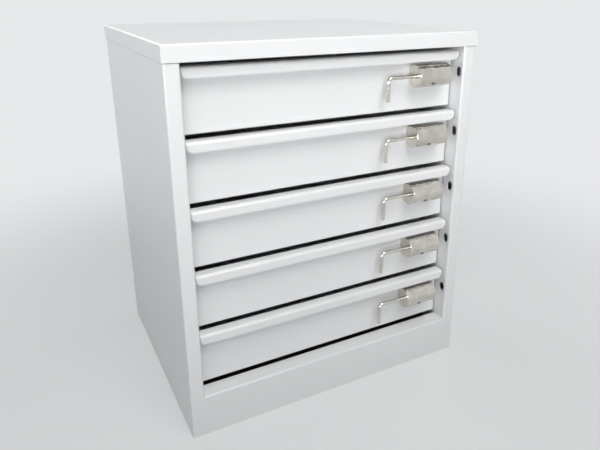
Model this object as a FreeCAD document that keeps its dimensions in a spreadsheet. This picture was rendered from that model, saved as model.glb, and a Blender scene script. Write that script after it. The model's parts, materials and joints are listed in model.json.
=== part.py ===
import FreeCAD, Part
import math
import operator
import os
import types

import Sketcher

# Driving dimensions in millimetres, and one angle in degrees
SIZES = (
    ("cabinet_width", "460", "over the side panels"),
    ("cabinet_depth", "376", "from the stiles' front to the back"),
    ("panel_sheet", "1.2", "sheet of the cabinet's panels"),
    ("panel_bend", "1.5", "inside radius of the panels' bends"),
    ("stile_width", "20", "front face of a stile"),
    ("post_depth", "70", "return behind a stile's inner edge"),
    ("post_return", "14", "flange that closes the post behind the stile"),
    ("back_flange", "20", "flange of a side panel at the back"),
    ("cover_skirt", "21.2", "height of the top cover's skirt"),
    ("cover_sheet", "1.2", "sheet of the top cover"),
    ("cover_gap", "0.1", "between the skirt and the panels inside it"),
    ("cover_bend", "1.3", "inside radius of the top cover's bends"),
    ("plinth_height", "62.5", "floor to the plinth's top edge"),
    ("plinth_ledge", "25", "ledge folded back at the plinth's top"),
    ("plinth_fold", "20", "step from the ledge down to the base panel"),
    ("plinth_lap", "45", "plinth on top of the base panel"),
    ("plinth_foot", "18", "flange folded back along the floor"),
    ("plinth_gap", "0.1", "seam between the plinth and a stile"),
    ("base_flange", "30", "flanges turned down beside the base panel"),
    ("base_gap", "0.1", "between those flanges and the side walls"),
    ("upright_width", "30", "rear upright, front to back"),
    ("upright_gap", "6", "between a rear upright and the back panel"),
    ("top_gap", "6.3", "between the skirt and the top drawer"),
    ("drawer_gap", "5", "between one drawer front and the next"),
    ("bottom_gap", "5", "between the bottom drawer and the plinth"),
    ("drawer_height", "85", "drawer front, lower edge to lip top"),
    ("drawer_recess", "26", "drawer front behind the stiles' front"),
    ("drawer_side_gap", "2.3", "between a drawer front and a stile"),
    ("drawer_sheet", "1", "sheet of the fronts and trays"),
    ("drawer_bend", "1.5", "inside radius of the fronts' bends"),
    ("front_return", "12", "edges of a front folded back"),
    ("lip_reach", "16.7", "finger lip in front of the drawer front"),
    ("lip_drop", "13.4", "height of the finger lip's apron"),
    ("lip_bend", "3.5", "inside radius of the bend along the lip's front"),
    ("lip_inset", "0.5", "finger lip short of the front's side edge"),
    ("lip_corner", "8", "radius of the apron's lower corners"),
    ("tray_lift", "4", "tray floor above the front's lower edge"),
    ("tray_height", "66", "wall of a tray"),
    ("tray_setback", "22", "tray short of the cabinet's back"),
    ("slide_space", "13", "between a tray wall and the stile's plane"),
    ("runner_height", "30", "fixed channel of a slide"),
    ("runner_depth", "9", "fixed channel, web to lips"),
    ("runner_lip", "6", "lips that keep the rail in its channel"),
    ("runner_sheet", "1.2", "sheet of channels and rails"),
    ("runner_play", "0.3", "running gap between rail and channel"),
    ("runner_lift", "20", "channel above the front's lower edge"),
    ("runner_setback", "17", "channel behind the drawer front"),
    ("rod_diameter", "6", "bolt rod"),
    ("rod_fit", "0.08", "radial running fit of the rod in its bore"),
    ("rod_reach", "14.5", "rod axis in front of the drawer front"),
    ("rod_drop", "33.8", "rod axis below the lip's top"),
    ("rod_bend", "6", "bend radius at the rod's axis"),
    ("rod_proud", "6.5", "rod end past its housing when drawn back"),
    ("leg_offset", "46", "handle leg to the left of the housing"),
    ("leg_drop", "33", "handle leg's tip below the rod's axis"),
    ("bolt_stroke", "22", "travel of the bolt"),
    ("housing_length", "57", "bolt housing along the rod"),
    ("housing_diameter", "33", "round bar that the bolt housing is cut from"),
    ("housing_depth", "29", "bolt housing in front of the drawer front"),
    ("housing_inset", "19.7", "housing short of the front's right edge"),
    ("slot_width", "10", "bolt slot in the right stile, front to back"),
    ("slot_height", "14.5", "bolt slot in the right stile"),
    ("slot_rise", "2", "middle of the bolt slot above the rod's axis"),
    ("slot_lead", "1.5", "middle of the bolt slot in front of the rod's axis"),
    ("stop_place", "25", "middle of the stop key from the housing's left end"),
    ("stop_tilt", "45", "stop key below the horizontal, in degrees"),
    ("key_length", "5", "stop key along the rod"),
    ("key_width", "2.6", "stop key across the rod"),
    ("key_reach", "16", "outer end of the stop key from the rod's axis"),
    ("key_fit", "0.05", "gap round the stop key in its hole"),
    ("key_play", "0.3", "gap round the stop key in the rod's keyway"),
    ("keyway_depth", "1.4", "keyway along the rod"),
)
DRAWERS = 5
SIDES = (("left", -1), ("right", 1))
# Extra length of a cut past the sheet that it goes through
SWEEP = 1.0


class Size:
    """A size with its value and the formula that ties it to the sheet."""

    def __init__(self, value, formula):
        self.value = value
        self.formula = formula

    def joined(self, other, sign, action):
        other = as_size(other)
        return Size(action(self.value, other.value), f"({self.formula} {sign} {other.formula})")

    def __add__(self, other):
        return self.joined(other, "+", operator.add)

    def __sub__(self, other):
        return self.joined(other, "-", operator.sub)

    def __mul__(self, other):
        return self.joined(other, "*", operator.mul)

    def __truediv__(self, other):
        return self.joined(other, "/", operator.truediv)

    def __neg__(self):
        return self * -1


def as_size(number):
    """Takes a size as it is, and a plain number as a size of its own."""
    if isinstance(number, Size):
        return number
    return Size(float(number), repr(float(number)))


def sine(angle):
    return Size(math.sin(math.radians(angle.value)), f"sin({angle.formula})")


def cosine(angle):
    return Size(math.cos(math.radians(angle.value)), f"cos({angle.formula})")


def read_sizes(doc):
    """Fills the sheet and gives each of its rows as a size."""
    sheet = doc.addObject("Spreadsheet::Sheet", "Sizes")
    for row, (alias, value, note) in enumerate(SIZES, start=1):
        sheet.set(f"A{row}", alias)
        sheet.set(f"B{row}", value)
        sheet.set(f"C{row}", note)
        sheet.setAlias(f"B{row}", alias)
    doc.recompute()
    found = {alias: Size(float(sheet.get(alias)), f"Sizes.{alias}") for alias, _, _ in SIZES}
    return types.SimpleNamespace(**found)


doc = FreeCAD.newDocument("drawer_unit")
size = read_sizes(doc)
nodes = []

# Planes and levels that several pieces share
half_width = size.cabinet_width / 2
front_y = -size.cabinet_depth / 2
back_y = size.cabinet_depth / 2
wall_x = half_width - size.panel_sheet
stile_x = half_width - size.stile_width
face_y = front_y + size.drawer_recess
pitch = size.drawer_height + size.drawer_gap
stack = size.drawer_height * DRAWERS + size.drawer_gap * (DRAWERS - 1)
skirt_z = size.plinth_height + size.bottom_gap + stack + size.top_gap
cover_z = skirt_z + size.cover_skirt
cover_under = cover_z - size.cover_sheet
side_top = cover_under - size.cover_bend
base_z = size.plinth_height - size.plinth_fold - size.panel_sheet
back_inner_y = back_y - size.panel_sheet * 2
tray_x = stile_x - size.slide_space
front_x = stile_x - size.drawer_side_gap
tray_front_y = face_y + size.drawer_sheet
tray_back_y = back_y - size.tray_setback
rod_y = face_y - size.rod_reach
rod_radius = size.rod_diameter / 2
housing_x = front_x - size.housing_inset - size.housing_length


def drawer_low(number):
    """Lower edge of a drawer front, with drawer 1 at the top."""
    return size.plinth_height + size.bottom_gap + pitch * (DRAWERS - number)


def rod_level(number):
    """Height of a drawer's bolt rod."""
    return drawer_low(number) + size.drawer_height - size.rod_drop


# Ties between features and the sheet


def tie(item, name, amount):
    """Binds a property or a constraint to its formula."""
    item.setExpression(name, as_size(amount).formula)


def place(item, x=0, y=0, z=0):
    """Puts an object at a point that follows the sheet."""
    for axis, amount in (("x", x), ("y", y), ("z", z)):
        tie(item, f"Placement.Base.{axis}", amount)


def body_of(label):
    """Starts a sub-part as a body of its own."""
    body = doc.addObject("PartDesign::Body", label)
    body.Label = label
    nodes.append(body)
    return body


def sketch_on(body, role, name, offset=0, tilt=None):
    """Starts a sketch on a base plane, moved along its normal or tilted about its first axis."""
    sketch = body.newObject("Sketcher::SketchObject", f"{body.Name}_{name}")
    plane = next(feature for feature in body.Origin.OriginFeatures if feature.Role == role)
    sketch.AttachmentSupport = [(plane, "")]
    sketch.MapMode = "FlatFace"
    tie(sketch, "AttachmentOffset.Base.z", offset)
    if tilt is not None:
        turn = FreeCAD.Rotation(FreeCAD.Vector(1, 0, 0), tilt.value)
        sketch.AttachmentOffset = FreeCAD.Placement(FreeCAD.Vector(), turn)
        tie(sketch, "AttachmentOffset.Rotation.Angle", tilt)
    return sketch


def constrain(sketch, amount, *terms):
    """Adds a dimension that follows the sheet."""
    index = sketch.addConstraint(Sketcher.Constraint(*terms, amount.value))
    tie(sketch, f"Constraints[{index}]", amount)


ORIGIN = (-1, 1)
START, END, CENTRE = range(1, 4)


def locate(sketch, curve, end, point):
    """Holds one point of a curve at its distances from the sketch's origin."""
    constrain(sketch, as_size(point[0]), "DistanceX", *ORIGIN, curve, end)
    constrain(sketch, as_size(point[1]), "DistanceY", *ORIGIN, curve, end)


def vector(point):
    return FreeCAD.Vector(as_size(point[0]).value, as_size(point[1]).value, 0)


def add_line(sketch, start, end):
    return sketch.addGeometry(Part.LineSegment(vector(start), vector(end)), False)


def add_arc(sketch, start, end, centre, clockwise):
    """Adds the arc from start to end, and gives its curve with its first and last point's names."""
    middle = vector(centre)
    radius = (vector(start) - middle).Length
    first, last = (end, start) if clockwise else (start, end)
    angles = [math.atan2(*reversed((vector(point) - middle)[:2])) for point in (first, last)]
    if angles[1] < angles[0]:
        angles[1] += 2 * math.pi
    circle = Part.Circle(middle, FreeCAD.Vector(0, 0, 1), radius)
    curve = sketch.addGeometry(Part.ArcOfCircle(circle, *angles), False)
    ends = (END, START) if clockwise else (START, END)
    return curve, ends


def polygon(sketch, points):
    """Draws a closed outline of straight lines through points."""
    count = len(points)
    for index, point in enumerate(points):
        add_line(sketch, point, points[(index + 1) % count])
    for index, point in enumerate(points):
        sketch.addConstraint(Sketcher.Constraint("Coincident", index, END, (index + 1) % count, START))
        locate(sketch, index, START, point)


def rectangle(sketch, low_x, high_x, low_y, high_y):
    polygon(sketch, [(low_x, low_y), (high_x, low_y), (high_x, high_y), (low_x, high_y)])


def circle(sketch, point, diameter):
    """Draws a located circle of a given diameter."""
    radius = as_size(diameter).value / 2
    curve = sketch.addGeometry(Part.Circle(vector(point), FreeCAD.Vector(0, 0, 1), radius), False)
    locate(sketch, curve, CENTRE, point)
    constrain(sketch, as_size(diameter), "Diameter", curve)


def shifted(point, step, amount):
    """Moves a point by an amount along a unit step."""
    return tuple(as_size(now) + amount * part for now, part in zip(point, step))


def step_between(start, end):
    """Unit step of a leg that runs along one axis."""
    gap = vector(end) - vector(start)
    return tuple(round(part / gap.Length) for part in gap[:2])


def folded_face(path, hand, sheet, bends, lifted):
    """Lists the points along one face of a folded sheet, and the radii of the bends by their first point.

    The path runs along the face that is drawn first. The sheet lies to its left where hand is 1 and
    to its right where hand is -1, and lifted asks for the far face instead. A corner without a bend
    radius is sharp.
    """
    steps = [step_between(start, end) for start, end in zip(path, path[1:])]
    normals = [(-hand * step[1], hand * step[0]) for step in steps]
    lift = sheet if lifted else as_size(0)
    points = [shifted(path[0], normals[0], lift)]
    arcs = {}
    for index, bend in enumerate(bends):
        before, after = steps[index:index + 2]
        corner = shifted(shifted(path[index + 1], normals[index], lift), normals[index + 1], lift)
        if bend is None:
            points.append(corner)
            continue
        turns_left = before[0] * after[1] - before[1] * after[0] == hand
        radius = bend if turns_left == lifted else bend + sheet
        arcs[len(points)] = radius
        points.append(shifted(corner, before, -radius))
        points.append(shifted(corner, after, radius))
    points.append(shifted(path[-1], normals[-1], lift))
    return points, arcs


def folded_section(sketch, path, hand, sheet, bends=None):
    """Draws the closed section of a folded sheet, with a bend or a sharp fold at each corner of its path."""
    bends = bends or [None] * (len(path) - 2)
    front, arcs = folded_face(path, hand, sheet, bends, lifted=False)
    rear, rear_arcs = folded_face(path, hand, sheet, bends, lifted=True)
    points = front + rear[::-1]
    arcs.update({len(points) - 2 - index: radius for index, radius in rear_arcs.items()})
    curves = []
    for index, start in enumerate(points):
        end = points[(index + 1) % len(points)]
        if index in arcs:
            before = step_between(points[index - 1], start)
            after = step_between(end, points[(index + 2) % len(points)])
            clockwise = before[0] * after[1] - before[1] * after[0] < 0
            curve, ends = add_arc(sketch, start, end, shifted(start, after, arcs[index]), clockwise)
            constrain(sketch, arcs[index], "Radius", curve)
        else:
            curve = add_line(sketch, start, end)
            ends = (START, END)
        curves.append((curve, ends))
    for index, (curve, ends) in enumerate(curves):
        next_curve, next_ends = curves[(index + 1) % len(curves)]
        sketch.addConstraint(Sketcher.Constraint("Coincident", curve, ends[1], next_curve, next_ends[0]))
        if index not in arcs:
            locate(sketch, curve, START, points[index])
            if (index + 1) % len(curves) in arcs:
                locate(sketch, curve, END, points[(index + 1) % len(points)])


def pad(body, sketch, length, both_ways=False):
    """Pads a sketch along its normal, or as far to both sides of its plane."""
    feature = body.newObject("PartDesign::Pad", f"{sketch.Name}_pad")
    feature.Profile = sketch
    feature.SideType = "Symmetric" if both_ways else "One side"
    tie(feature, "Length", length)
    doc.recompute()
    return feature


def pocket(body, sketch, length, both_ways=False, along_normal=False):
    """Cuts a sketch out of the body, and makes sure that it cut something."""
    before = body.Shape.Volume
    feature = body.newObject("PartDesign::Pocket", f"{sketch.Name}_cut")
    feature.Profile = sketch
    feature.SideType = "Symmetric" if both_ways else "One side"
    feature.Reversed = along_normal
    tie(feature, "Length", length)
    doc.recompute()
    if body.Shape.Volume >= before:
        raise ValueError(f"{feature.Name} cuts nothing")
    return feature


def row_of(body, feature, sketch, axis, spacing, count):
    """Repeats a feature along an axis of its sketch."""
    row = body.newObject("PartDesign::LinearPattern", f"{feature.Name}_row")
    row.Originals = [feature]
    row.Direction = (sketch, [axis])
    row.Mode = "Spacing"
    tie(row, "Offset", spacing)
    row.Occurrences = count
    body.Tip = row
    doc.recompute()


def names_of(shape, kind, wanted):
    """Names the edges or faces of a shape that a test picks."""
    items = shape.Edges if kind == "Edge" else shape.Faces
    return [f"{kind}{index}" for index, item in enumerate(items, start=1) if wanted(item)]


def round_edges(body, base, wanted, radius):
    """Rounds the edges that a test picks."""
    feature = body.newObject("PartDesign::Fillet", f"{base.Name}_fillet")
    feature.Base = (base, names_of(base.Shape, "Edge", wanted))
    tie(feature, "Radius", radius)
    doc.recompute()
    return feature


def hollow(body, base, open_face, sheet):
    """Hollows a body to a wall of sheet inside its faces, with one face left open."""
    feature = body.newObject("PartDesign::Thickness", f"{base.Name}_wall")
    feature.Base = (base, names_of(base.Shape, "Face", open_face))
    feature.Mode = "Skin"
    feature.Join = "Intersection"
    feature.Reversed = True
    tie(feature, "Value", sheet)
    doc.recompute()
    return feature


def near(first, second):
    return abs(first - second) < 1e-4


def lies_level(item, height):
    """Tells whether an edge or a face lies level at a given height."""
    box = item.BoundBox
    return near(box.ZMin, height.value) and near(box.ZMax, height.value)


# Cabinet


def side_panel(name, side):
    """A side wall folded into a hollow post at the front and a flange at the back."""
    body = body_of(f"{name}_side_panel")
    section = sketch_on(body, "XY_Plane", "section")
    outer_x = half_width * side
    inner_x = stile_x * side
    path = [
        ((half_width - size.back_flange) * side, back_y),
        (outer_x, back_y),
        (outer_x, front_y),
        (inner_x, front_y),
        (inner_x, front_y + size.post_depth),
        ((stile_x + size.post_return) * side, front_y + size.post_depth),
    ]
    bends = [size.panel_bend, size.panel_bend, size.panel_bend, None]
    folded_section(section, path, -side, size.panel_sheet, bends)
    pad(body, section, side_top)
    return body


def bolt_slots(body):
    """One upright slot for each drawer's bolt in the right stile's return."""
    slot = sketch_on(body, "YZ_Plane", "bolt_slot", offset=stile_x + size.panel_sheet + SWEEP)
    half = size.slot_width / 2
    reach = (size.slot_height - size.slot_width) / 2
    level = rod_level(DRAWERS) + size.slot_rise
    middle = rod_y - size.slot_lead
    left, right = middle - half, middle + half
    low, high = level - reach, level + reach
    right_line = add_line(slot, (right, low), (right, high))
    top, _ = add_arc(slot, (right, high), (left, high), (middle, high), clockwise=False)
    left_line = add_line(slot, (left, high), (left, low))
    bottom, _ = add_arc(slot, (left, low), (right, low), (middle, low), clockwise=False)
    loop = (right_line, top, left_line, bottom)
    for curve, following in zip(loop, loop[1:] + loop[:1]):
        slot.addConstraint(Sketcher.Constraint("Coincident", curve, END, following, START))
    for curve, end, point in (
        (right_line, START, (right, low)),
        (right_line, END, (right, high)),
        (left_line, START, (left, high)),
        (left_line, END, (left, low)),
    ):
        locate(slot, curve, end, point)
    for curve, centre_z in ((top, high), (bottom, low)):
        constrain(slot, centre_z, "DistanceY", *ORIGIN, curve, CENTRE)
    cut = pocket(body, slot, size.panel_sheet + SWEEP * 2)
    row_of(body, cut, slot, "V_Axis", pitch, DRAWERS)


def top_cover():
    """A cap with a skirt on all four sides, hollow underneath."""
    body = body_of("top_cover")
    outline = sketch_on(body, "XY_Plane", "outline", offset=skirt_z)
    overhang = size.cover_sheet + size.cover_gap
    reach_x, reach_y = half_width + overhang, back_y + overhang
    rectangle(outline, -reach_x, reach_x, -reach_y, reach_y)
    block = pad(body, outline, size.cover_skirt)
    cap = hollow(body, block, lambda face: lies_level(face, skirt_z), size.cover_sheet)
    bent = round_edges(body, cap, lambda edge: lies_level(edge, cover_under), size.cover_bend)
    outside = size.cover_bend + size.cover_sheet
    round_edges(body, bent, lambda edge: lies_level(edge, cover_z), outside)


def back_panel():
    """A sheet inside the side panels' back flanges, folded over at the bottom and top."""
    body = body_of("back_panel")
    section = sketch_on(body, "YZ_Plane", "section")
    outer_y = back_y - size.panel_sheet
    edge_y = outer_y - size.back_flange
    path = [(edge_y, 0), (outer_y, 0), (outer_y, cover_under), (edge_y, cover_under)]
    folded_section(section, path, 1, size.panel_sheet)
    pad(body, section, (wall_x - size.panel_bend) * 2, both_ways=True)


def base_panel():
    """The cabinet's floor, with a flange turned down at each side."""
    body = body_of("base_panel")
    section = sketch_on(body, "XZ_Plane", "section", offset=-back_inner_y)
    low = base_z - size.base_flange
    edge_x = wall_x - size.base_gap
    path = [(-edge_x, low), (-edge_x, base_z), (edge_x, base_z), (edge_x, low)]
    folded_section(section, path, -1, size.panel_sheet)
    pad(body, section, back_inner_y - front_y - size.post_depth)


def plinth_panel():
    """The plinth between the stiles, with a floor flange and a ledge that steps down to the base panel."""
    body = body_of("plinth_panel")
    section = sketch_on(body, "YZ_Plane", "section")
    floor_z = base_z + size.panel_sheet
    ledge_y = front_y + size.plinth_ledge
    path = [
        (front_y + size.plinth_foot, 0),
        (front_y, 0),
        (front_y, size.plinth_height),
        (ledge_y, size.plinth_height),
        (ledge_y, floor_z),
        (front_y + size.post_depth + size.plinth_lap, floor_z),
    ]
    folded_section(section, path, -1, size.panel_sheet, [None, size.panel_bend, None, None])
    pad(body, section, (stile_x - size.plinth_gap) * 2, both_ways=True)


def rear_upright(name, side):
    """A channel on the side wall that carries the rear ends of the fixed slides."""
    body = body_of(f"rear_upright_{name}")
    section = sketch_on(body, "XY_Plane", "section", offset=base_z)
    high_y = back_inner_y - size.upright_gap
    low_y = high_y - size.upright_width
    outer_x, inner_x = wall_x * side, stile_x * side
    path = [(outer_x, low_y), (inner_x, low_y), (inner_x, high_y), (outer_x, high_y)]
    folded_section(section, path, -side, size.panel_sheet)
    pad(body, section, skirt_z - base_z)


# Slides


def fixed_runner(number, name, side):
    """A lipped channel on the stile's return and the rear upright, open towards the tray."""
    body = body_of(f"cabinet_runner_{number}_{name}")
    section = sketch_on(body, "XZ_Plane", "section")
    web_x = stile_x * side
    lip_x = (stile_x - size.runner_depth) * side
    high = size.runner_height
    path = [
        (lip_x, size.runner_lip),
        (lip_x, 0),
        (web_x, 0),
        (web_x, high),
        (lip_x, high),
        (lip_x, high - size.runner_lip),
    ]
    folded_section(section, path, side, size.runner_sheet)
    pad(body, section, back_inner_y - size.upright_gap - face_y - size.runner_setback)
    place(body, 0, back_inner_y - size.upright_gap, drawer_low(number) + size.runner_lift)


def drawer_runner(number, name, side):
    """A hat-section rail on the tray wall, whose brims run inside the fixed channel."""
    body = body_of(f"drawer_{number}_runner_{name}")
    section = sketch_on(body, "XZ_Plane", "section")
    brim_x = (stile_x - size.runner_depth + size.runner_sheet + size.runner_play) * side
    crown_x = tray_x * side
    margin = size.runner_sheet + size.runner_play
    crown_margin = size.runner_lip + size.runner_play
    high = size.runner_height
    path = [
        (brim_x, margin),
        (brim_x, crown_margin),
        (crown_x, crown_margin),
        (crown_x, high - crown_margin),
        (brim_x, high - crown_margin),
        (brim_x, high - margin),
    ]
    folded_section(section, path, -side, size.runner_sheet)
    pad(body, section, tray_back_y - face_y - size.runner_setback)
    place(body, 0, tray_back_y, drawer_low(number) + size.runner_lift)


# Drawers


def drawer_front(number):
    """A front folded back at its sides and bottom, and forward at its top into a finger lip."""
    body = body_of(f"drawer_{number}_front")
    sheet = size.drawer_sheet
    back_edge_y = face_y + size.front_return
    lip_y = face_y - size.lip_reach + sheet
    lip_x = front_x - size.lip_inset
    apron_low = size.drawer_height - size.lip_drop
    section = sketch_on(body, "YZ_Plane", "section")
    path = [
        (back_edge_y, 0),
        (face_y, 0),
        (face_y, size.drawer_height - sheet),
        (lip_y, size.drawer_height - sheet),
        (lip_y, apron_low),
    ]
    folded_section(section, path, -1, sheet, [size.drawer_bend, size.drawer_bend, size.lip_bend])
    profile = pad(body, section, lip_x * 2, both_ways=True)

    def is_apron_corner(edge):
        box = edge.BoundBox
        return near(box.ZMin, apron_low.value) and near(box.XLength, 0) and near(box.YLength, sheet.value)

    round_edges(body, profile, is_apron_corner, size.lip_corner)
    wings = sketch_on(body, "XY_Plane", "wings", offset=sheet + size.drawer_bend)
    path = [(-front_x, back_edge_y), (-front_x, face_y), (front_x, face_y), (front_x, back_edge_y)]
    folded_section(wings, path, 1, sheet)
    pad(body, wings, size.drawer_height - (sheet + size.drawer_bend) * 2)
    place(body, 0, 0, drawer_low(number))


def drawer_tray(number):
    """An open tray behind the front."""
    body = body_of(f"drawer_{number}_tray")
    outline = sketch_on(body, "XY_Plane", "outline")
    rectangle(outline, -tray_x, tray_x, tray_front_y, tray_back_y)
    block = pad(body, outline, size.tray_height)
    hollow(body, block, lambda face: lies_level(face, size.tray_height), size.drawer_sheet)
    place(body, 0, 0, drawer_low(number) + size.tray_lift)


# Bolts


def bar_section(sketch):
    """Draws a housing's section: a round bar with one flat, bored for the rod.

    The sketch's origin is on the rod's axis, and the drawer front is at rod_reach behind it.
    """
    base = size.rod_reach
    radius = size.housing_diameter / 2
    centre = (base - size.housing_depth + radius, as_size(0))
    half_flat = math.sqrt(radius.value ** 2 - (base - centre[0]).value ** 2)
    flat = add_line(sketch, (base, half_flat), (base, -half_flat))
    crest, _ = add_arc(sketch, (base, half_flat), (base, -half_flat), centre, clockwise=False)
    sketch.addConstraint(Sketcher.Constraint("Coincident", flat, START, crest, START))
    sketch.addConstraint(Sketcher.Constraint("Coincident", flat, END, crest, END))
    sketch.addConstraint(Sketcher.Constraint("Vertical", flat))
    constrain(sketch, base, "DistanceX", *ORIGIN, flat, START)
    locate(sketch, crest, CENTRE, centre)
    constrain(sketch, radius, "Radius", crest)
    circle(sketch, (0, 0), size.rod_diameter + size.rod_fit * 2)


def bolt_housing(number):
    """A round bar housing, flat against the drawer front and bored for the rod."""
    body = body_of(f"drawer_{number}_bolt_housing")
    section = sketch_on(body, "YZ_Plane", "section")
    bar_section(section)
    pad(body, section, size.housing_length)
    hole = sketch_on(body, "XZ_Plane", "key_hole", tilt=size.stop_tilt)
    along = size.key_length / 2 + size.key_fit
    across = size.key_width / 2 + size.key_fit
    rectangle(hole, size.stop_place - along, size.stop_place + along, -across, across)
    pocket(body, hole, size.housing_diameter, along_normal=True)
    place(body, housing_x, rod_y, rod_level(number))


def bolt_rod(number):
    """A round rod bent down into a handle leg, with a keyway for the stop key."""
    body = body_of(f"drawer_{number}_bolt_rod")
    end_x = size.housing_length + size.rod_proud
    leg_x = -size.leg_offset
    bend_x = leg_x + size.rod_bend
    spine = sketch_on(body, "XZ_Plane", "spine")
    run = add_line(spine, (end_x, 0), (bend_x, 0))
    elbow, _ = add_arc(spine, (bend_x, 0), (leg_x, -size.rod_bend), (bend_x, -size.rod_bend), clockwise=False)
    leg = add_line(spine, (leg_x, -size.rod_bend), (leg_x, -size.leg_drop))
    spine.addConstraint(Sketcher.Constraint("Coincident", run, END, elbow, START))
    spine.addConstraint(Sketcher.Constraint("Coincident", elbow, END, leg, START))
    locate(spine, run, START, (end_x, 0))
    locate(spine, run, END, (bend_x, 0))
    locate(spine, leg, START, (leg_x, -size.rod_bend))
    locate(spine, leg, END, (leg_x, -size.leg_drop))
    constrain(spine, size.rod_bend, "Radius", elbow)
    profile = sketch_on(body, "YZ_Plane", "profile", offset=end_x)
    circle(profile, (0, 0), size.rod_diameter)
    doc.recompute()
    bar = body.newObject("PartDesign::AdditivePipe", f"{body.Name}_bar")
    bar.Profile = profile
    bar.Spine = (spine, [])
    doc.recompute()
    keyway = sketch_on(body, "XZ_Plane", "keyway", tilt=size.stop_tilt - 90)
    margin = size.key_length / 2 + size.key_play
    bottom = rod_radius - size.keyway_depth
    rectangle(
        keyway, size.stop_place - size.bolt_stroke - margin, size.stop_place + margin,
        -rod_radius - SWEEP, -bottom,
    )
    pocket(body, keyway, size.key_width + size.key_play * 2, both_ways=True)
    place(body, housing_x, rod_y, rod_level(number))


def stop_key(number):
    """A flat-sided key in the housing's hole, whose inner end runs in the rod's keyway."""
    key = doc.addObject("Part::Box", f"drawer_{number}_stop_key")
    key.Label = key.Name
    nodes.append(key)
    start = rod_radius - size.keyway_depth + size.key_play
    tie(key, "Length", size.key_length)
    tie(key, "Width", size.key_width)
    tie(key, "Height", size.key_reach - start)
    outward = size.stop_tilt + 90
    key.Placement = FreeCAD.Placement(
        FreeCAD.Vector(), FreeCAD.Rotation(FreeCAD.Vector(1, 0, 0), outward.value)
    )
    tie(key, "Placement.Rotation.Angle", outward)
    rise, run = sine(size.stop_tilt), cosine(size.stop_tilt)
    across = size.key_width / 2
    place(
        key,
        housing_x + size.stop_place - size.key_length / 2,
        rod_y - start * run + across * rise,
        rod_level(number) - start * rise - across * run,
    )


def build():
    """Makes every sub-part."""
    for name, side in SIDES:
        panel = side_panel(name, side)
        if name == "right":
            bolt_slots(panel)
        rear_upright(name, side)
    top_cover()
    back_panel()
    base_panel()
    plinth_panel()
    for number in range(1, DRAWERS + 1):
        for name, side in SIDES:
            fixed_runner(number, name, side)
            drawer_runner(number, name, side)
        drawer_front(number)
        drawer_tray(number)
        bolt_housing(number)
        bolt_rod(number)
        stop_key(number)
    doc.recompute()


def check():
    """Stops if a feature failed or a sub-part has no sound shape."""
    for item in doc.Objects:
        if "Invalid" in item.State or "Error" in item.State:
            raise ValueError(f"{item.Name} failed: {item.State}")
    for node in nodes:
        if node.Shape.isNull() or not node.Shape.isValid():
            raise ValueError(f"{node.Label} has no sound shape")


def export():
    """Writes one file for each sub-part."""
    os.makedirs("parts", exist_ok=True)
    for node in nodes:
        node.Shape.exportStep(os.path.join("parts", f"{node.Label}.step"))
        print(f"{node.Label}: {len(node.Shape.Solids)} solids, {node.Shape.Volume:.1f} mm3")


build()
check()
export()
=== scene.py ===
import json
import math

import bpy
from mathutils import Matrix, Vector


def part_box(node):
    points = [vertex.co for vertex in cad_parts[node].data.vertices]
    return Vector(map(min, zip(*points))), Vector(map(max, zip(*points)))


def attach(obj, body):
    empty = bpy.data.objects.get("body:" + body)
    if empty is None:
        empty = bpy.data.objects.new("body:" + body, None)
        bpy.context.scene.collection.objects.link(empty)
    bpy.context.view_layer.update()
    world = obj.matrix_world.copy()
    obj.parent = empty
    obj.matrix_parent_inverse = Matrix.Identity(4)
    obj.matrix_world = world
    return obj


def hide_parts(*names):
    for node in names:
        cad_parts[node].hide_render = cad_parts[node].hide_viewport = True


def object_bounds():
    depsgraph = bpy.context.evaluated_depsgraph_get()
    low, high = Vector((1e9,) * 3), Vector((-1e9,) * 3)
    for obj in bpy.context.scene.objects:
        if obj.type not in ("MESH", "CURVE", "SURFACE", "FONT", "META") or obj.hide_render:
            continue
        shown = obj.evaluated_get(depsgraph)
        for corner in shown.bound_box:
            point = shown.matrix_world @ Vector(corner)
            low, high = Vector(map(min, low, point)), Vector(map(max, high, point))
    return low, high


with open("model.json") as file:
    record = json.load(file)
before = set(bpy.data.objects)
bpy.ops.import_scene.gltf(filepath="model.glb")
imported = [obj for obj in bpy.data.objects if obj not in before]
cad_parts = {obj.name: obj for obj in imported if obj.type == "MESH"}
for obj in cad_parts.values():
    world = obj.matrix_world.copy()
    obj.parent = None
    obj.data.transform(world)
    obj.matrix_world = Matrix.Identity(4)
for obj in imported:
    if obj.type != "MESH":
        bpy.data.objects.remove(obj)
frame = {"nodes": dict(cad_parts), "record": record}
cad_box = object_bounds()
scene = bpy.context.scene

# Camera of the photograph: place in metres, turn in degrees, and shift as a share of the picture's width
CAMERA_PLACE = (-0.3823, -0.8403, 0.6005)
CAMERA_TURN = (71.313, -0.135, -28.301)
LENS_MM = 34.467
SENSOR_MM = 36.0
SHIFT_X = -0.03273
SHIFT_Y = -0.07372

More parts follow.
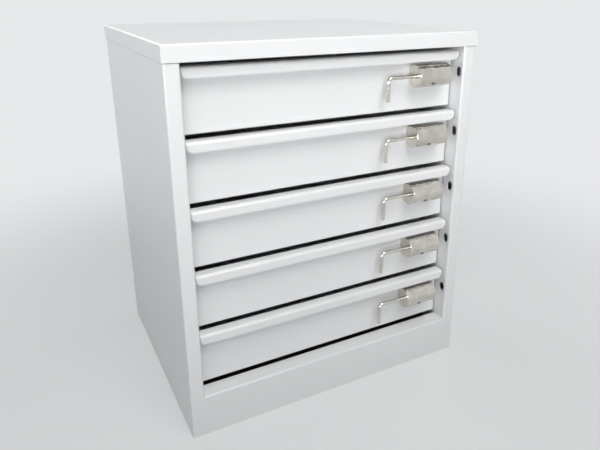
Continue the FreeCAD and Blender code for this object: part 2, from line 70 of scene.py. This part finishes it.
# Soft lamps: name, place, aim, width and height in metres, power in watts, beam spread in degrees, colour
WARM_WHITE = (1.0, 0.995, 0.985)
WHITE = (1.0, 1.0, 1.0)
COOL_WHITE = (0.97, 0.985, 1.0)
LAMPS = (
    ("steep_softbox", (0.1, -0.75, 1.6), (0.0, -0.17, 0.4), (1.2, 0.5), 4.8, 180, WARM_WHITE),
    ("high_softbox", (0.1, -1.3, 1.6), (0.0, -0.17, 0.45), (0.8, 0.8), 11.6, 180, WARM_WHITE),
    ("front_spot", (-0.7, -1.9, 0.52), (0.05, -0.18, 0.62), (1.6, 0.6), 2.1, 50, WARM_WHITE),
    ("corner_softbox", (-1.5, -1.4, 0.55), (0.0, -0.1, 0.5), (0.8, 0.8), 0.6, 70, WHITE),
    ("left_spot", (-1.5, -0.3, 0.68), (-0.23, -0.05, 0.76), (1.8, 0.6), 1.4, 45, COOL_WHITE),
    ("top_softbox", (0.0, 0.2, 2.2), (0.0, 0.0, 0.5), (1.2, 1.2), 3.0, 180, WHITE),
    ("right_softbox", (2.0, 0.4, 1.0), (0.23, 0.0, 0.3), (1.2, 1.0), 9.0, 180, WHITE),
    ("back_softbox", (-0.6, 2.1, 1.5), (0.0, 0.19, 0.3), (0.8, 1.0), 15.0, 180, WHITE),
)
WORLD_COLOUR = (0.92, 0.96, 1.0)
WORLD_STRENGTH = 0.10
BACKDROP_COLOUR = (0.80, 0.81, 0.82)

# Finishes: two tones, the range of roughness, and the width of the blotches of each in metres
PAINT_TONES = ((0.800, 0.812, 0.822), (0.812, 0.823, 0.833))
PAINT_BLOTCH = 0.2
PAINT_ROUGHNESS = (0.28, 0.34)
PAINT_SHEEN_BLOTCH = 0.15
PAINT_COAT = 0.4
PAINT_COAT_ROUGHNESS = 0.1
# Near-black painted shade, standing in for the unlit recesses behind the drawer fronts and the slit under
# the top cover
PAINTED_SHADE = (0.020, 0.020, 0.021)
NICKEL_TONES = ((0.58, 0.55, 0.50), (0.72, 0.69, 0.64))
NICKEL_BLOTCH = 0.02
NICKEL_ROUGHNESS = (0.05, 0.11)
NICKEL_SHEEN_BLOTCH = 0.006
ZINC_TONES = ((0.48, 0.49, 0.51), (0.62, 0.63, 0.65))
ZINC_CELLS_PER_METRE = 220
ZINC_ROUGHNESS = (0.32, 0.5)
ZINC_SHEEN_BLOTCH = 0.01
KEY_TONES = ((0.14, 0.13, 0.12), (0.24, 0.23, 0.22))
KEY_BLOTCH = 0.002
KEY_ROUGHNESS = (0.3, 0.45)
KEY_SHEEN_BLOTCH = 0.001
FLOOR_TONES = ((0.60, 0.605, 0.61), (0.62, 0.625, 0.63))
FLOOR_BLOTCH = 0.6
FLOOR_ROUGHNESS = 0.85
# Noise: the values between which most of it lies, and its detail in general, on paint and in waves
NOISE_MIDDLE = (0.3, 0.7)
NOISE_DETAIL = 3.0
PAINT_DETAIL = 0.0
WAVE_DETAIL = 1.0

# Waves that polishing leaves in the nickel: their width, and their depth on rods and on housings, in metres
WAVE_WIDTH = 0.005
ROD_WAVE = 0.0001
HOUSING_WAVE = 0.0007

# Studio floor that curves up into a low wall, and where and from what share it turns to the backdrop
FLOOR_RADIUS = 5.0
WALL_RADIUS = 1.2
WALL_HEIGHT = 1.4
WALL_STEP_DEGREES = 10
FLOOR_SIDES = 96
SHADE_EDGE = (0.45, 1.3)
SHADE_LEAST = 0.55

# Small pieces: sizes in metres, shares of a length, angles, directions and counts
DRAWERS = 5
SHARP_DEGREES = 40
TRAY_SHEET = 0.001
HEM_RADIUS = 0.0016
BEAD_SIDES = 16
SCREW_PLACES = (0.25, 0.75)
WELDS_PER_FLANGE = 7
WELD_MARGIN = 0.04
HOUSING_SIDES = 96
HOUSING_EDGE = 0.0008
BORE_FIT = 0.00008
SEAM_STEPS = 10
PANEL_BEND = 0.0027
FLANGE_WIDTH = 0.020
JOINT_RADIUS = 0.0005
TURNED_SIDES = 24
HEXAGON_STEP = math.radians(60)
SIDES = (("left", -1), ("right", 1))
BACKWARD = (0, 1, 0)
# Rings of a socket screw's head and of a spot weld: radius, height, and whether the ring is a hexagon
SCREW_RINGS = (
    (0.0040, 0.0, False),
    (0.0040, 0.0009, False),
    (0.0036, 0.0018, False),
    (0.0028, 0.0022, False),
    (0.0019, 0.0022, True),
    (0.0018, 0.0009, True),
)
WELD_RINGS = (
    (0.0040, 0.0, False),
    (0.0034, 0.00045, False),
    (0.0026, 0.00045, False),
    (0.0020, 0.00015, False),
)


# Nodes that several finishes share


def material(name):
    """A new node material with its tree and its surface shader."""
    made = bpy.data.materials.new(name)
    made.use_nodes = True
    tree = made.node_tree
    shader = tree.nodes["Principled BSDF"]
    return made, tree, shader


def object_space(tree):
    """Coordinates fixed to the piece, in metres."""
    return tree.nodes.new("ShaderNodeTexCoord").outputs["Object"]


def depth_of(tree, vector):
    """The part of a vector along Y, from front to back."""
    node = tree.nodes.new("ShaderNodeSeparateXYZ")
    tree.links.new(vector, node.inputs["Vector"])
    return node.outputs["Y"]


def length_of(tree, vector):
    """The length of a vector, which is a point's distance from the cabinet's middle."""
    node = tree.nodes.new("ShaderNodeVectorMath")
    node.operation = "LENGTH"
    tree.links.new(vector, node.inputs[0])
    return node.outputs["Value"]


def larger(tree, first, second):
    """The larger of two values."""
    node = tree.nodes.new("ShaderNodeMath")
    node.operation = "MAXIMUM"
    tree.links.new(first, node.inputs[0])
    tree.links.new(second, node.inputs[1])
    return node.outputs["Value"]


def mixed(tree, share, first, second):
    """Goes from one shader to another by a share."""
    node = tree.nodes.new("ShaderNodeMixShader")
    for socket, value in zip(node.inputs, (share, first, second)):
        tree.links.new(value, socket)
    return node.outputs["Shader"]


def noise(tree, vector, grain, detail=NOISE_DETAIL):
    """Soft noise whose blotches are about grain metres wide."""
    node = tree.nodes.new("ShaderNodeTexNoise")
    node.inputs["Scale"].default_value = 1 / grain
    node.inputs["Detail"].default_value = detail
    tree.links.new(vector, node.inputs["Vector"])
    return node.outputs["Fac"]


def spread(tree, value, low, high):
    """Maps the middle of a noise to a range of numbers."""
    node = tree.nodes.new("ShaderNodeMapRange")
    node.inputs["From Min"].default_value = NOISE_MIDDLE[0]
    node.inputs["From Max"].default_value = NOISE_MIDDLE[1]
    node.inputs["To Min"].default_value = low
    node.inputs["To Max"].default_value = high
    tree.links.new(value, node.inputs["Value"])
    return node.outputs["Result"]


def tint(tree, value, low, high):
    """Mixes two colours by the middle of a noise."""
    node = tree.nodes.new("ShaderNodeValToRGB")
    for stop, position, colour in zip(node.color_ramp.elements, NOISE_MIDDLE, (low, high)):
        stop.position = position
        stop.color = (*colour, 1)
    tree.links.new(value, node.inputs["Fac"])
    return node.outputs["Color"]


def bump(tree, shader, height, depth):
    """Presses a height into the surface, to a depth in metres."""
    node = tree.nodes.new("ShaderNodeBump")
    node.inputs["Distance"].default_value = depth
    tree.links.new(height, node.inputs["Height"])
    tree.links.new(node.outputs["Normal"], shader.inputs["Normal"])


def faded_in(tree, value, between, least, ray):
    """Rises from the least share to 1 between two values, for some kinds of ray only."""
    fade = tree.nodes.new("ShaderNodeMapRange")
    fade.interpolation_type = "SMOOTHSTEP"
    fade.inputs["From Min"].default_value = between[0]
    fade.inputs["From Max"].default_value = between[1]
    fade.inputs["To Min"].default_value = least
    only = tree.nodes.new("ShaderNodeMath")
    only.operation = "MULTIPLY"
    tree.links.new(value, fade.inputs["Value"])
    tree.links.new(fade.outputs["Result"], only.inputs[0])
    tree.links.new(ray, only.inputs[1])
    return only.outputs["Value"]


# Finishes


def dress(tree, shader, colour, roughness):
    """Gives a shader its colour and its roughness."""
    tree.links.new(colour, shader.inputs["Base Color"])
    tree.links.new(roughness, shader.inputs["Roughness"])


def shaded_behind(tree, colour, space, plane):
    """Turns a colour to near-black painted shade behind a plane, for recesses that lie in shade."""
    behind = tree.nodes.new("ShaderNodeMath")
    behind.operation = "GREATER_THAN"
    behind.inputs[1].default_value = plane
    blend = tree.nodes.new("ShaderNodeMix")
    blend.data_type = "RGBA"
    blend.inputs["B"].default_value = (*PAINTED_SHADE, 1)
    tree.links.new(depth_of(tree, space), behind.inputs[0])
    tree.links.new(behind.outputs["Value"], blend.inputs["Factor"])
    tree.links.new(colour, blend.inputs["A"])
    return blend.outputs["Result"]


def white_paint(name="white_powder_coat", painted_shade_behind=None):
    """Glossy white powder coat, a little uneven in tone and sheen, with painted shade behind a plane if
    asked.
    """
    made, tree, shader = material(name)
    space = object_space(tree)
    colour = tint(tree, noise(tree, space, PAINT_BLOTCH, PAINT_DETAIL), *PAINT_TONES)
    if painted_shade_behind is not None:
        colour = shaded_behind(tree, colour, space, painted_shade_behind)
    sheen = spread(tree, noise(tree, space, PAINT_SHEEN_BLOTCH, PAINT_DETAIL), *PAINT_ROUGHNESS)
    dress(tree, shader, colour, sheen)
    shader.inputs["Coat Weight"].default_value = PAINT_COAT
    shader.inputs["Coat Roughness"].default_value = PAINT_COAT_ROUGHNESS
    return made


def metal(name):
    """A bare metal's material, with its tree, its shader and its coordinates."""
    made, tree, shader = material(name)
    shader.inputs["Metallic"].default_value = 1.0
    return made, tree, shader, object_space(tree)


def polished_nickel(name, wave):
    """Bright nickel plate whose polish is wavy to a depth in metres."""
    made, tree, shader, space = metal(name)
    tones = tint(tree, noise(tree, space, NICKEL_BLOTCH), *NICKEL_TONES)
    sheen = spread(tree, noise(tree, space, NICKEL_SHEEN_BLOTCH), *NICKEL_ROUGHNESS)
    dress(tree, shader, tones, sheen)
    bump(tree, shader, noise(tree, space, WAVE_WIDTH, WAVE_DETAIL), wave)
    return made


def zinc_plate():
    """Zinc-plated steel with a soft spangle."""
    made, tree, shader, space = metal("zinc_plate")
    cells = tree.nodes.new("ShaderNodeTexVoronoi")
    cells.inputs["Scale"].default_value = ZINC_CELLS_PER_METRE
    tree.links.new(space, cells.inputs["Vector"])
    tones = tint(tree, cells.outputs["Color"], *ZINC_TONES)
    sheen = spread(tree, noise(tree, space, ZINC_SHEEN_BLOTCH), *ZINC_ROUGHNESS)
    dress(tree, shader, tones, sheen)
    return made


def dark_steel():
    """Dull dark steel of the stop keys."""
    made, tree, shader, space = metal("dark_steel")
    tones = tint(tree, noise(tree, space, KEY_BLOTCH), *KEY_TONES)
    sheen = spread(tree, noise(tree, space, KEY_SHEEN_BLOTCH), *KEY_ROUGHNESS)
    dress(tree, shader, tones, sheen)
    return made


def studio_floor():
    """Pale matt floor with the cabinet's shadow, which turns to an even backdrop farther off."""
    made, tree, shader = material("studio_floor")
    space = object_space(tree)
    tones = tint(tree, noise(tree, space, FLOOR_BLOTCH), *FLOOR_TONES)
    tree.links.new(tones, shader.inputs["Base Color"])
    shader.inputs["Roughness"].default_value = FLOOR_ROUGHNESS
    backdrop = tree.nodes.new("ShaderNodeEmission")
    backdrop.inputs["Color"].default_value = (*BACKDROP_COLOUR, 1)
    rays = tree.nodes.new("ShaderNodeLightPath")
    shown = larger(tree, rays.outputs["Is Camera Ray"], rays.outputs["Is Glossy Ray"])
    far_off = length_of(tree, space)
    open_floor = faded_in(tree, far_off, SHADE_EDGE, SHADE_LEAST, shown)
    whole = mixed(tree, open_floor, shader.outputs["BSDF"], backdrop.outputs["Emission"])
    tree.links.new(whole, tree.nodes["Material Output"].inputs["Surface"])
    return made


# Meshes


def skin(rings, caps=(), closed=False):
    """Points and faces over rings of points, with flat faces on the rings in caps, or closed end to end."""
    count = len(rings[0])
    points = [point for ring in rings for point in ring]
    faces = [tuple(range(index * count, index * count + count)) for index in caps]
    starts = list(range(0, len(points), count))
    pairs = list(zip(starts, starts[1:]))
    if closed:
        pairs.append((starts[-1], starts[0]))
    for low, high in pairs:
        for side in range(count):
            after = (side + 1) % count
            faces.append((low + side, low + after, high + after, high + side))
    return points, faces


def add_piece(name, shape, finish, body):
    """Makes a smooth mesh piece of points and faces that rides on a body."""
    points, faces = shape
    mesh = bpy.data.meshes.new(name)
    mesh.from_pydata([tuple(point) for point in points], [], faces)
    mesh.materials.append(finish)
    mesh.shade_smooth()
    mesh.set_sharp_from_angle(angle=math.radians(SHARP_DEGREES))
    piece = bpy.data.objects.new(name, mesh)
    scene.collection.objects.link(piece)
    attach(piece, body)
    return piece


def turned(profile, place, axis):
    """A turned head that stands on a place, with a flat middle."""
    turn = Vector(axis).to_track_quat("Z", "Y").to_matrix()
    rings = []
    for radius, height, hexagon in profile:
        ring = []
        for side in range(TURNED_SIDES):
            angle = 2 * math.pi * side / TURNED_SIDES
            reach = radius
            if hexagon:
                reach /= math.cos(angle % HEXAGON_STEP - HEXAGON_STEP / 2)
            point = Vector((reach * math.cos(angle), reach * math.sin(angle), height))
            ring.append(Vector(place) + turn @ point)
        rings.append(ring)
    return skin(rings, caps=[len(rings) - 1])


def swept(path, radius):
    """A round bead along a level path, with mitred corners and closed ends."""
    path = [Vector(point) for point in path]
    rings = []
    for index, point in enumerate(path):
        before = (point - path[index - 1]).normalized() if index else None
        after = (path[index + 1] - point).normalized() if index + 1 < len(path) else None
        ahead = (before or after) + (after or before)
        side = Vector((0, 0, 1)).cross(ahead.normalized()) / (ahead / 2).length
        ring = []
        for step in range(BEAD_SIDES):
            angle = 2 * math.pi * step / BEAD_SIDES
            ring.append(point + side * radius * math.cos(angle) + Vector((0, 0, radius * math.sin(angle))))
        rings.append(ring)
    return skin(rings, caps=(0, len(rings) - 1))


# Pieces


def add_hem(number, finish):
    """The rolled edge along the top of a tray's side and rear walls."""
    low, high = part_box(f"drawer_{number}_tray")
    inset = HEM_RADIUS / 2
    left, right = low[0] + inset, high[0] - inset
    front, back = low[1] + HEM_RADIUS * 2, high[1] - inset
    level = high[2]
    path = [(left, front, level), (left, back, level), (right, back, level), (right, front, level)]
    body = f"drawer_{number}"
    add_piece(f"{body}_tray_hem", swept(path, HEM_RADIUS), finish, body)


def add_screws(number, finish):
    """The screws inside a drawer that hold its bolt housing."""
    tray_low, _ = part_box(f"drawer_{number}_tray")
    housing_low, housing_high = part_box(f"drawer_{number}_bolt_housing")
    level = (housing_low[2] + housing_high[2]) / 2
    for index, share in enumerate(SCREW_PLACES, start=1):
        x = housing_low[0] + (housing_high[0] - housing_low[0]) * share
        head = turned(SCREW_RINGS, (x, tray_low[1] + TRAY_SHEET, level), BACKWARD)
        add_piece(f"drawer_{number}_housing_screw_{index}", head, finish, f"drawer_{number}")


def bar_ring(x, middle, reach, cut):
    """A ring round a housing's bar, cut off flat at a distance behind its middle."""
    points = []
    for side in range(HOUSING_SIDES):
        angle = 2 * math.pi * side / HOUSING_SIDES
        ahead = math.cos(angle)
        length = min(reach, cut / ahead) if ahead > 0 else reach
        points.append(Vector((x, middle.y + length * ahead, middle.z + length * math.sin(angle))))
    return points


def add_housing(number, finish):
    """A bolt housing: a round bar with one flat against the drawer front, bored, with bevelled ends."""
    node = f"drawer_{number}_bolt_housing"
    low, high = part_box(node)
    rod_low, rod_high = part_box(f"drawer_{number}_bolt_rod")
    radius = (high[2] - low[2]) / 2
    centre = Vector((0, low[1] + radius, low[2] + radius))
    flat = high[1] - centre.y
    rod_radius = (rod_high[1] - rod_low[1]) / 2
    bore = rod_radius + BORE_FIT
    axis = Vector((0, (rod_low[1] + rod_high[1]) / 2, rod_high[2] - rod_radius))
    left, right = low[0], high[0]
    rings = [
        bar_ring(left, axis, bore, radius),
        bar_ring(left, centre, radius - HOUSING_EDGE, flat),
        bar_ring(left + HOUSING_EDGE, centre, radius, flat),
        bar_ring(right - HOUSING_EDGE, centre, radius, flat),
        bar_ring(right, centre, radius - HOUSING_EDGE, flat),
        bar_ring(right, axis, bore, radius),
    ]
    piece = add_piece(f"{node}_bar", skin(rings, closed=True), finish, f"drawer_{number}")
    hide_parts(node)


def add_seams(finish):
    """The ground and painted welds that fill the grooves between the plinth and the stiles."""
    low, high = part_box("plinth_panel")
    top = high[2] - PANEL_BEND
    for name, side in SIDES:
        edge = high[0] * side
        outline = [(edge, low[1]), (edge, low[1] + PANEL_BEND)]
        for step in range(SEAM_STEPS + 1):
            angle = math.pi / 2 * step / SEAM_STEPS
            x = edge + side * PANEL_BEND * (1 - math.cos(angle))
            y = low[1] + PANEL_BEND * (1 - math.sin(angle))
            outline.append((x, y))
        rings = [[Vector((x, y, z)) for x, y in outline] for z in (low[2], top)]
        add_piece(f"plinth_seam_{name}", skin(rings, caps=(0, 1)), finish, "cabinet")


def add_lid_joints(finish):
    """A near-black bead of painted shade along the lower edge of the top cover's skirt, over each side
    panel and its stile, standing in for the shaded slit there.
    """
    low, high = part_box("top_cover")
    front, back = low[1] + JOINT_RADIUS, high[1] - JOINT_RADIUS
    for name, side in SIDES:
        panel_low, panel_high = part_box(f"{name}_side_panel")
        outer, inner = (high[0], panel_low[0]) if side > 0 else (low[0], panel_high[0])
        outer -= side * JOINT_RADIUS
        path = [(outer, back, low[2]), (outer, front, low[2]), (inner, front, low[2])]
        add_piece(f"lid_joint_shade_{name}", swept(path, JOINT_RADIUS), finish, "cabinet")


def add_welds(finish):
    """The spot welds that join the back panel to the side panels' flanges."""
    for name, side in SIDES:
        low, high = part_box(f"{name}_side_panel")
        edge = high[0] if side > 0 else low[0]
        x = edge - side * FLANGE_WIDTH / 2
        bottom, top = low[2] + WELD_MARGIN, high[2] - WELD_MARGIN
        for index in range(WELDS_PER_FLANGE):
            level = bottom + (top - bottom) * index / (WELDS_PER_FLANGE - 1)
            spot = turned(WELD_RINGS, (x, high[1], level), BACKWARD)
            add_piece(f"{name}_back_weld_{index + 1}", spot, finish, "cabinet")


def paint_nodes():
    """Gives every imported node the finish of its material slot."""
    finishes = {
        "white_paint": white_paint(),
        "polished_bolt": polished_nickel("polished_nickel", ROD_WAVE),
        "zinc_slides": zinc_plate(),
        "zinc_key": dark_steel(),
    }
    for row in frame["record"]["subparts"]:
        mesh = frame["nodes"][row["node"]].data
        mesh.materials.clear()
        mesh.materials.append(finishes[row["material_slot"]])
    front_low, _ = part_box("drawer_1_tray")
    # The plinth and base panel behind the trays' fronts turn to near-black painted shade, for the dark
    # recess seen through the gaps
    inside = white_paint("painted_shade_inside", painted_shade_behind=front_low[1])
    for node in ("plinth_panel", "base_panel"):
        frame["nodes"][node].data.materials[0] = inside
    return finishes


# Studio


def add_floor():
    """A round floor whose rim curves up into a low wall."""
    profile = [(FLOOR_RADIUS + WALL_RADIUS, WALL_HEIGHT)]
    for degrees in range(90, -1, -WALL_STEP_DEGREES):
        turn = math.radians(degrees)
        profile.append((FLOOR_RADIUS + WALL_RADIUS * math.sin(turn), WALL_RADIUS * (1 - math.cos(turn))))
    angles = [2 * math.pi * side / FLOOR_SIDES for side in range(FLOOR_SIDES)]
    rings = [
        [(radius * math.cos(angle), radius * math.sin(angle), height) for angle in angles]
        for radius, height in profile
    ]
    points, faces = skin(rings, caps=[len(rings) - 1])
    mesh = bpy.data.meshes.new("studio_floor")
    mesh.from_pydata(points, [], faces)
    mesh.shade_smooth()
    mesh.materials.append(studio_floor())
    floor = bpy.data.objects.new("studio_floor", mesh)
    scene.collection.objects.link(floor)


def add_lamps():
    """Soft lamps round the cabinet."""
    for name, place, aim, (width, height), power, beam, colour in LAMPS:
        data = bpy.data.lights.new(name, "AREA")
        data.shape = "RECTANGLE"
        data.size = width
        data.size_y = height
        data.energy = power
        data.spread = math.radians(beam)
        data.color = colour
        lamp = bpy.data.objects.new(name, data)
        lamp.location = place
        lamp.rotation_euler = (Vector(aim) - Vector(place)).to_track_quat("-Z", "Y").to_euler()
        scene.collection.objects.link(lamp)


def add_world():
    """A dim world that the camera and mirrors see as the pale backdrop."""
    world = bpy.data.worlds.new("studio")
    world.use_nodes = True
    tree = world.node_tree
    dim = tree.nodes["Background"]
    dim.inputs["Color"].default_value = (*WORLD_COLOUR, 1)
    dim.inputs["Strength"].default_value = WORLD_STRENGTH
    pale = tree.nodes.new("ShaderNodeBackground")
    pale.inputs["Color"].default_value = (*BACKDROP_COLOUR, 1)
    rays = tree.nodes.new("ShaderNodeLightPath")
    shown = larger(tree, rays.outputs["Is Camera Ray"], rays.outputs["Is Glossy Ray"])
    seen = mixed(tree, shown, dim.outputs["Background"], pale.outputs["Background"])
    tree.links.new(seen, tree.nodes["World Output"].inputs["Surface"])
    scene.world = world


def add_camera():
    """The photograph's viewpoint."""
    data = bpy.data.cameras.new("camera")
    data.sensor_width = SENSOR_MM
    data.lens = LENS_MM
    data.shift_x = SHIFT_X
    data.shift_y = SHIFT_Y
    camera = bpy.data.objects.new("camera", data)
    camera.location = CAMERA_PLACE
    camera.rotation_euler = [math.radians(angle) for angle in CAMERA_TURN]
    scene.collection.objects.link(camera)
    scene.camera = camera


finishes = paint_nodes()
housing_nickel = polished_nickel("hand_polished_nickel", HOUSING_WAVE)
for number in range(1, DRAWERS + 1):
    add_hem(number, finishes["white_paint"])
    add_screws(number, finishes["zinc_slides"])
    add_housing(number, housing_nickel)
add_welds(finishes["white_paint"])
add_seams(finishes["white_paint"])
# The lid joint's bead is painted shade all through, since all of it lies behind the cabinet's front plane
add_lid_joints(white_paint("painted_joint_shade", painted_shade_behind=cad_box[0][1]))
add_floor()
add_lamps()
add_world()
add_camera()
scene.view_settings.view_transform = "Standard"
